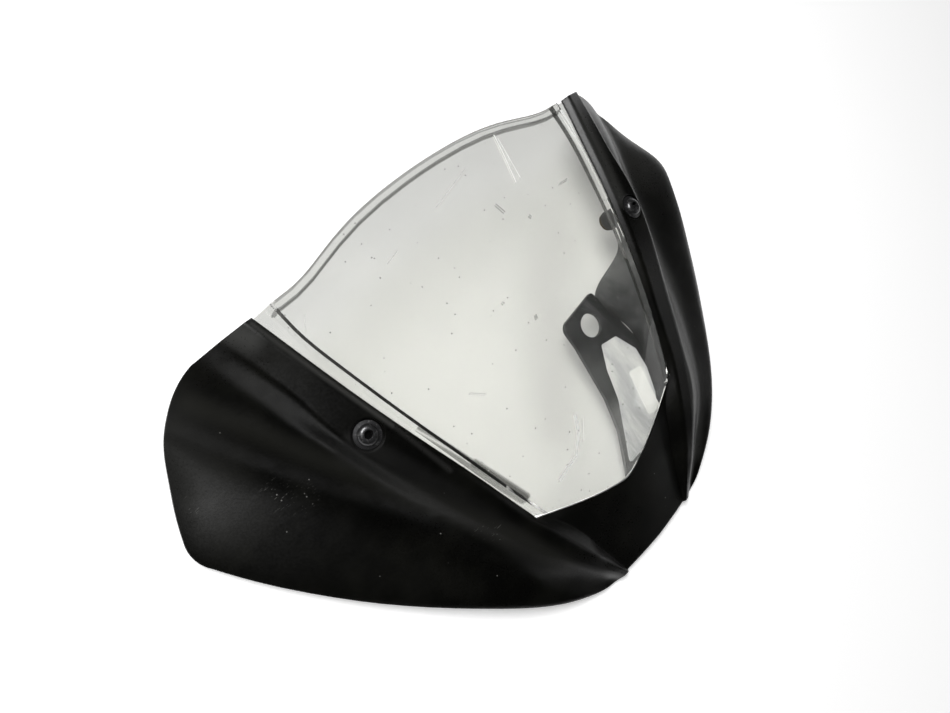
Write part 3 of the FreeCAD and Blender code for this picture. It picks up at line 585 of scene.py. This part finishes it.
@dataclass(frozen=True)
class BracketPlastic(Finish):
    """Black moulded plastic with painted shadow in its corner, and paler in two patches towards the
    front.
    """

    name: str = "bracket_plastic"
    dark: Triple = (0.022, 0.023, 0.025)
    pale: Triple = (0.080, 0.083, 0.088)
    shadowed: Triple = (0.006, 0.006, 0.007)
    front_grey: Triple = (0.16, 0.165, 0.17)
    front_pale: Triple = (0.30, 0.30, 0.31)
    speck: Triple = (0.3, 0.3, 0.3)
    rough: float = 0.5
    grain_depth: float = 0.00005
    cloud_scale: float = 60.0
    grain_scale: float = 1200.0
    dot_scale: float = 500.0
    dot_size: float = 0.25
    dot_share: float = 0.02
    dot_strength: float = 0.6
    corner: Line = Line(
        (
            (0.0570, 0.0130), (0.0625, -0.0089), (0.0675, -0.0279), (0.0640, -0.0451),
            (0.0600, -0.0574),
        ),
        0.0048,
        0.9,
    )
    # Two paler patches on the shelf's left arm, towards the front.
    worn: Line = Line(((0.0300, -0.0280), (0.0270, -0.0520)), 0.020, 0.5)
    front_pale_patch: Line = Line(((0.0270, -0.0560), (0.0130, -0.0790)), 0.016, 0.9)

    def build(self) -> bpy.types.Material:
        """Make the bracket's material.

        Returns:
            The material.
        """
        graph = Graph(self.name)
        place = graph.place()
        cloud = graph.noise(place, self.cloud_scale, 4.0)
        grain = graph.noise(place, self.grain_scale, 2.0)
        dots = graph.specks(place, self.dot_scale, self.dot_size, self.dot_share)
        colour = graph.blend(cloud.ramp(0.35, 0.7), self.dark, self.pale)
        colour = graph.blend(graph.drawn(place, (self.worn,), 0.0), colour, self.front_grey)
        colour = graph.blend(graph.drawn(place, (self.front_pale_patch,), 0.2), colour, self.front_pale)
        colour = graph.blend(graph.drawn(place, (self.corner,), 0.3), colour, self.shadowed)
        colour = graph.blend(dots * self.dot_strength, colour, self.speck)
        shader = graph.principled(
            Base_Color=colour,
            Roughness=grain.ramp(0.3, 0.7, self.rough - 0.06, self.rough + 0.08),
            Normal=graph.bump(grain, self.grain_depth, 0.5),
        )
        return graph.finish(shader)


@dataclass(frozen=True)
class CrinkledFoil(Finish):
    """Thin silver foil with pressed creases, given a faint emission that paints light on it though
    it is no lamp.
    """

    name: str = "crinkled_foil"
    bright: Triple = (0.92, 0.92, 0.93)
    dull: Triple = (0.68, 0.69, 0.71)
    metal: float = 0.12
    painted_glow: float = 0.42
    crease_depth: float = 0.0012
    bend_scale: Triple = (130, 40, 80)
    bend_turn: float = 0.35
    fold_scale: Triple = (150, 90, 150)
    fine_scale: Triple = (500, 180, 500)
    fine_turn: float = 0.4

    def build(self) -> bpy.types.Material:
        """Make the foil's material.

        Returns:
            The material.
        """
        graph = Graph(self.name)
        place = graph.place()
        bend = graph.noise(graph.stretch(place, self.bend_scale, self.bend_turn), 1.0, 3.0)
        creased = graph.stretch(place, self.fold_scale)
        folds = graph.node("ShaderNodeTexVoronoi", {"Vector": creased, "Scale": 1.0})
        fine = graph.noise(graph.stretch(place, self.fine_scale, self.fine_turn), 1.0, 4.0)
        colour = graph.blend(bend.ramp(0.35, 0.65), self.dull, self.bright)
        # Painted light: the emission brightens the foil though it is no lamp.
        shader = graph.principled(
            Base_Color=colour,
            Metallic=self.metal,
            Emission_Color=colour,
            Emission_Strength=self.painted_glow,
            Roughness=fine.ramp(0.3, 0.7, 0.34, 0.5),
            Normal=graph.bump(folds * 0.8 + fine * 0.5 + bend, self.crease_depth, 0.7),
        )
        return graph.finish(shader)


@dataclass(frozen=True)
class LabelFilm(Finish):
    """Bare pale label film with soft wrinkles, given an emission that paints light on it though it
    is no lamp.
    """

    name: str = "label_film"
    pale: Triple = (1.0, 1.0, 0.99)
    grey: Triple = (0.90, 0.90, 0.90)
    painted_glow: float = 0.60
    wrinkle_scale: float = 90.0
    wrinkle_depth: float = 0.0008

    def build(self) -> bpy.types.Material:
        """Make the label's material.

        Returns:
            The material.
        """
        graph = Graph(self.name)
        soft = graph.noise(graph.place(), self.wrinkle_scale, 3.0)
        # Painted light: the emission brightens the label though it is no lamp.
        shader = graph.principled(
            Base_Color=graph.blend(soft.ramp(0.4, 0.75), self.pale, self.grey),
            Emission_Color=self.pale,
            Emission_Strength=self.painted_glow,
            Roughness=soft.ramp(0.3, 0.7, 0.42, 0.6),
            Normal=graph.bump(soft, self.wrinkle_depth, 0.6),
        )
        return graph.finish(shader)


@dataclass(frozen=True)
class BlackSteel(Finish):
    """Black-finished steel, turned, a little worn, with painted shade down in the sockets."""

    name: str = "black_steel"
    dark: Triple = (0.065, 0.065, 0.067)
    worn: Triple = (0.27, 0.27, 0.265)
    socket_shade: Triple = (0.004, 0.004, 0.004)
    metal: float = 0.85
    rough: float = 0.28
    coat_rough: float = 0.12
    groove_depth: float = 0.00003
    cloud_scale: float = 700.0
    groove_scale: Triple = (2500, 2500, 300)
    # Painted shade: a dark disc in each screw's socket.
    socket: Line = Line(((0.1050, 0.0336), (0.1053, 0.0336)), 0.0022, 1.0, True)

    def build(self) -> bpy.types.Material:
        """Make the screws' material.

        Returns:
            The material.
        """
        graph = Graph(self.name)
        place = graph.place()
        cloud = graph.noise(place, self.cloud_scale, 4.0)
        turned = graph.noise(graph.stretch(place, self.groove_scale), 1.0, 2.0)
        colour = graph.blend(cloud.ramp(0.52, 0.8), self.dark, self.worn)
        # Painted shade in the sockets.
        colour = graph.blend(graph.drawn(place, (self.socket,), 0.8), colour, self.socket_shade)
        shader = graph.principled(
            Base_Color=colour,
            Metallic=self.metal,
            Roughness=turned.ramp(0.3, 0.7, self.rough, self.rough + 0.14),
            Coat_Weight=cloud.ramp(0.3, 0.7, 0.5, 0.2),
            Coat_Roughness=self.coat_rough,
            Normal=graph.bump(turned, self.groove_depth, 0.5),
        )
        return graph.finish(shader)


@dataclass(frozen=True)
class Rubber(Finish):
    """Plain black rubber with a soft bloom."""

    name: str = "rubber"
    dark: Triple = (0.012, 0.012, 0.012)
    bloom: Triple = (0.04, 0.04, 0.042)
    cloud_scale: float = 300.0
    skin_depth: float = 0.0001

    def build(self) -> bpy.types.Material:
        """Make the well nuts' material.

        Returns:
            The material.
        """
        graph = Graph(self.name)
        cloud = graph.noise(graph.place(), self.cloud_scale, 4.0)
        shader = graph.principled(
            Base_Color=graph.blend(cloud.ramp(0.4, 0.75), self.dark, self.bloom),
            Roughness=cloud.ramp(0.3, 0.7, 0.5, 0.68),
            Normal=graph.bump(cloud, self.skin_depth, 0.5),
        )
        return graph.finish(shader)


@dataclass(frozen=True)
class PlainBrass(Finish):
    """Turned brass, dulled and dark with age."""

    name: str = "plain_brass"
    bright: Triple = (0.080, 0.062, 0.034)
    dull: Triple = (0.040, 0.032, 0.019)
    metal: float = 0.9
    cloud_scale: float = 500.0

    def build(self) -> bpy.types.Material:
        """Make the inserts' material.

        Returns:
            The material.
        """
        graph = Graph(self.name)
        cloud = graph.noise(graph.place(), self.cloud_scale, 3.0)
        shader = graph.principled(
            Base_Color=graph.blend(cloud.ramp(0.45, 0.8), self.bright, self.dull),
            Metallic=self.metal,
            Roughness=cloud.ramp(0.3, 0.7, 0.28, 0.42),
        )
        return graph.finish(shader)


def inset(points: tuple[Point, ...], depth: float) -> tuple[Point, ...]:
    """Return a plan line moved towards the nose by a depth in metres."""
    return tuple((x, y - depth) for x, y in points)


@dataclass(frozen=True)
class SubAssembly:
    """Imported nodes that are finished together, found by their material slots."""

    title: str = "sub-assembly"

    def finishes(self) -> dict[Slot, Finish]:
        """Return the finish of each material slot in this sub-assembly."""
        raise NotImplementedError

    def dress(self, frame: dict) -> None:
        """Give the sub-assembly's nodes their finishes.
        """
        made = {slot: finish.build() for slot, finish in self.finishes().items()}
        for entry in frame["record"]["subparts"]:
            material = made.get(Slot(entry["material_slot"]))
            if material is None:
                continue
            for slot in frame["nodes"][entry["node"]].material_slots:
                slot.material = material
            LOG.info("%s, %s: %s", self.title, entry["node"], material.name)


@dataclass(frozen=True)
class Fairing(SubAssembly):
    """The black shell with its arms, wings and nose."""

    title: str = "fairing"

    def finishes(self) -> dict[Slot, Finish]:
        """Return the shell's finish."""
        return {Slot.FAIRING: FairingPlastic()}


@dataclass(frozen=True)
class Screen(SubAssembly):
    """The clear screen, with painted shade along its rim, bead and left step wall, painted light on
    its flange strip, and the marks of its use.
    """

    title: str = "screen"
    bead_width: float = 0.0044
    rim_width: float = 0.0003
    top_rim: tuple[Point, ...] = (
        (0.0, 0.1202), (0.012, 0.1200), (0.0285, 0.1191), (0.0445, 0.1173), (0.0595, 0.1143),
        (0.070, 0.1115), (0.080, 0.1088), (0.090, 0.1071), (0.100, 0.1068),
    )
    bead_end: Point = (0.1032, 0.1030)
    # Painted shade: dark lines along the left step's wall.
    step_shades: tuple[Line, ...] = (
        Line(((-0.0835, 0.0204), (-0.0722, -0.0106)), 0.0014, 0.9),
        Line(((-0.0722, -0.0106), (-0.0596, -0.0422)), 0.0026, 0.9),
    )
    # Painted light: a pale strip along the right flange beside the arm.
    flange_light_strip: Line = Line(
        (
            (0.1070, 0.1045), (0.1036, 0.0867), (0.0988, 0.0679), (0.0936, 0.0490),
            (0.0879, 0.0302), (0.0813, 0.0104),
        ),
        0.0024,
        0.8,
    )
    shade: Line = Line(((0.0442, 0.0457), (0.0183, 0.0296), (-0.0208, -0.0255)), 0.030, 0.5)
    scratches: tuple[Line, ...] = (
        Line(((0.0506, 0.1109), (0.0477, 0.0984), (0.0435, 0.0844)), 0.0006, 0.9),
        Line(((0.0515, 0.1084), (0.0478, 0.0852)), 0.0005, 0.7),
        Line(
            ((-0.0116, -0.0294), (-0.0158, -0.0378), (-0.0240, -0.0455), (-0.0395, -0.0489)),
            0.0008,
        ),
        Line(((-0.0085, -0.0338), (-0.0153, -0.0428)), 0.0005, 0.5),
    )
    dark_marks: tuple[Line, ...] = (
        Line(((0.0241, 0.0813), (0.0256, 0.0756)), 0.0005, 0.9),
        Line(((0.0685, 0.0698), (0.0746, 0.0693)), 0.0006, 0.7),
        Line(((0.0223, 0.1053), (-0.0058, 0.0979)), 0.00035, 0.35),
        Line(((-0.0380, 0.0919), (-0.0454, 0.0900)), 0.0004, 0.45),
        Line(((-0.0929, 0.0940), (-0.0976, 0.0876)), 0.0003, 0.4),
        Line(((-0.0532, 0.0167), (-0.0467, 0.0110)), 0.0003, 0.5),
        Line(((0.0375, 0.0660), (0.0380, 0.0650)), 0.0007, 0.8),
        Line(((0.0029, 0.0238), (0.0024, 0.0226)), 0.0008, 0.9),
        Line(((-0.0087, 0.0400), (-0.0085, 0.0394)), 0.0007, 0.9),
    )

    def edges(self) -> tuple[Line, ...]:
        """Lay out the painted shade lines of the rim, the bead and the left step.

        Returns:
            The lines.
        """
        bead = inset(self.top_rim, self.bead_width) + (self.bead_end,)
        return (
            Line(inset(self.top_rim, self.rim_width), 0.0006, 0.75, True),
            Line(bead, 0.0008, 0.9, True),
            *self.step_shades,
        )

    def finishes(self) -> dict[Slot, Finish]:
        """Give the screen's finish its lines and marks.

        Returns:
            The finish by its slot.
        """
        clear = ClearScreen(
            scratches=self.scratches,
            dark_marks=self.dark_marks,
            edges=self.edges(),
            shades=(self.shade,),
            strips=(self.flange_light_strip,),
        )
        return {Slot.SCREEN: clear}


@dataclass(frozen=True)
class Bracket(SubAssembly):
    """The side bracket and the strip, with the foil and the bare label on the shelf."""

    title: str = "bracket"

    def finishes(self) -> dict[Slot, Finish]:
        """Return the finishes of plastic, foil and label."""
        return {Slot.BRACKET: BracketPlastic(), Slot.FOIL: CrinkledFoil(), Slot.LABEL: LabelFilm()}


@dataclass(frozen=True)
class Fixings(SubAssembly):
    """The screws, and the well nuts with their inserts."""

    title: str = "fixings"

    def finishes(self) -> dict[Slot, Finish]:
        """Return the finishes of steel, rubber and brass."""
        return {Slot.SCREW: BlackSteel(), Slot.RUBBER: Rubber(), Slot.BRASS: PlainBrass()}


@dataclass(frozen=True)
class Softbox:
    """A rectangular lamp: its place, what it points at, its size in metres and its watts."""

    name: str
    place: Triple
    aim: Triple
    width: float
    depth: float
    power: float

    def hang(self) -> None:
        """Add the lamp to the scene."""
        data = bpy.data.lights.new(self.name, "AREA")
        data.shape = "RECTANGLE"
        data.size, data.size_y, data.energy = self.width, self.depth, self.power
        lamp = bpy.data.objects.new(self.name, data)
        lamp.location = self.place
        look = Vector(self.aim) - Vector(self.place)
        lamp.rotation_euler = look.to_track_quat("-Z", "Y").to_euler()
        bpy.context.scene.collection.objects.link(lamp)


@dataclass(frozen=True)
class Studio:
    """Floor, lamps and camera."""

    floor_size: float = 6.0
    floor_light: float = 0.40
    floor_pale: Triple = (0.90, 0.90, 0.90)
    floor_grey: Triple = (0.88, 0.88, 0.88)
    floor_cloud_scale: float = 3.0
    floor_rough: float = 0.9
    floor_specular: float = 0.1
    world_light: float = 0.03
    sensor: float = 36.0
    lens: float = 28.42
    nearest: float = 0.01
    eye: Triple = (-0.205608, 0.038759, 0.383304)
    right: Triple = (0.67225, -0.64755, 0.35882)
    up: Triple = (0.58800, 0.76152, 0.27266)
    lamps: tuple[Softbox, ...] = (
        Softbox("rear_softbox", (-0.30, 0.58, 1.15), (0.0, 0.05, 0.0), 0.78, 0.46, 18.0),
        Softbox("left_softbox", (-0.95, 0.85, 0.75), (0.0, 0.0, 0.0), 0.6, 0.5, 0.9),
        Softbox("right_panel", (1.15, -0.75, 0.55), (0.0, 0.0, 0.0), 0.7, 0.4, 0.6),
    )

    def floor(self) -> None:
        """Lay the plain pale floor."""
        mesh = bpy.data.meshes.new("floor")
        half = self.floor_size / 2
        corners = [(-half, -half, 0), (half, -half, 0), (half, half, 0), (-half, half, 0)]
        mesh.from_pydata(corners, [], [(0, 1, 2, 3)])
        floor = bpy.data.objects.new("floor", mesh)
        bpy.context.scene.collection.objects.link(floor)
        graph = Graph("pale_floor")
        tone = graph.noise(graph.place(), self.floor_cloud_scale, 2.0)
        shader = graph.principled(
            Base_Color=graph.blend(tone.ramp(0.3, 0.7), self.floor_pale, self.floor_grey),
            Roughness=self.floor_rough,
            Specular_IOR_Level=self.floor_specular,
            Emission_Color=WHITE,
            Emission_Strength=self.floor_light,
        )
        mesh.materials.append(graph.finish(shader))

    def light(self) -> None:
        """Hang the soft lamps and set the faint room light."""
        bpy.context.scene.view_settings.view_transform = "Standard"
        world = bpy.data.worlds.new("room")
        world.use_nodes = True
        back = world.node_tree.nodes["Background"]
        back.inputs["Color"].default_value = (*WHITE, 1.0)
        back.inputs["Strength"].default_value = self.world_light
        bpy.context.scene.world = world
        for lamp in self.lamps:
            lamp.hang()

    def camera(self) -> None:
        """Set the camera where the photograph was taken from."""
        data = bpy.data.cameras.new("camera")
        data.sensor_width = self.sensor
        data.lens = self.lens
        data.clip_start = self.nearest
        camera = bpy.data.objects.new("camera", data)
        right = Vector(self.right).normalized()
        up = Vector(self.up)
        up = (up - right * up.dot(right)).normalized()
        turn = Matrix((right, up, right.cross(up))).transposed().to_4x4()
        camera.matrix_world = Matrix.Translation(Vector(self.eye)) @ turn
        bpy.context.scene.collection.objects.link(camera)
        bpy.context.scene.camera = camera

    def build(self) -> None:
        """Set the whole studio."""
        self.floor()
        self.light()
        self.camera()
        LOG.info("studio: floor, %d lamps and camera", len(self.lamps))


def main() -> None:
    """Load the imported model, dress its sub-assemblies and set the studio."""
    logging.basicConfig(level=logging.INFO, format="%(message)s")
    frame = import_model()
    for group in (Fairing(), Screen(), Bracket(), Fixings()):
        group.dress(frame)
    Studio().build()


if __name__ == "__main__":
    main()
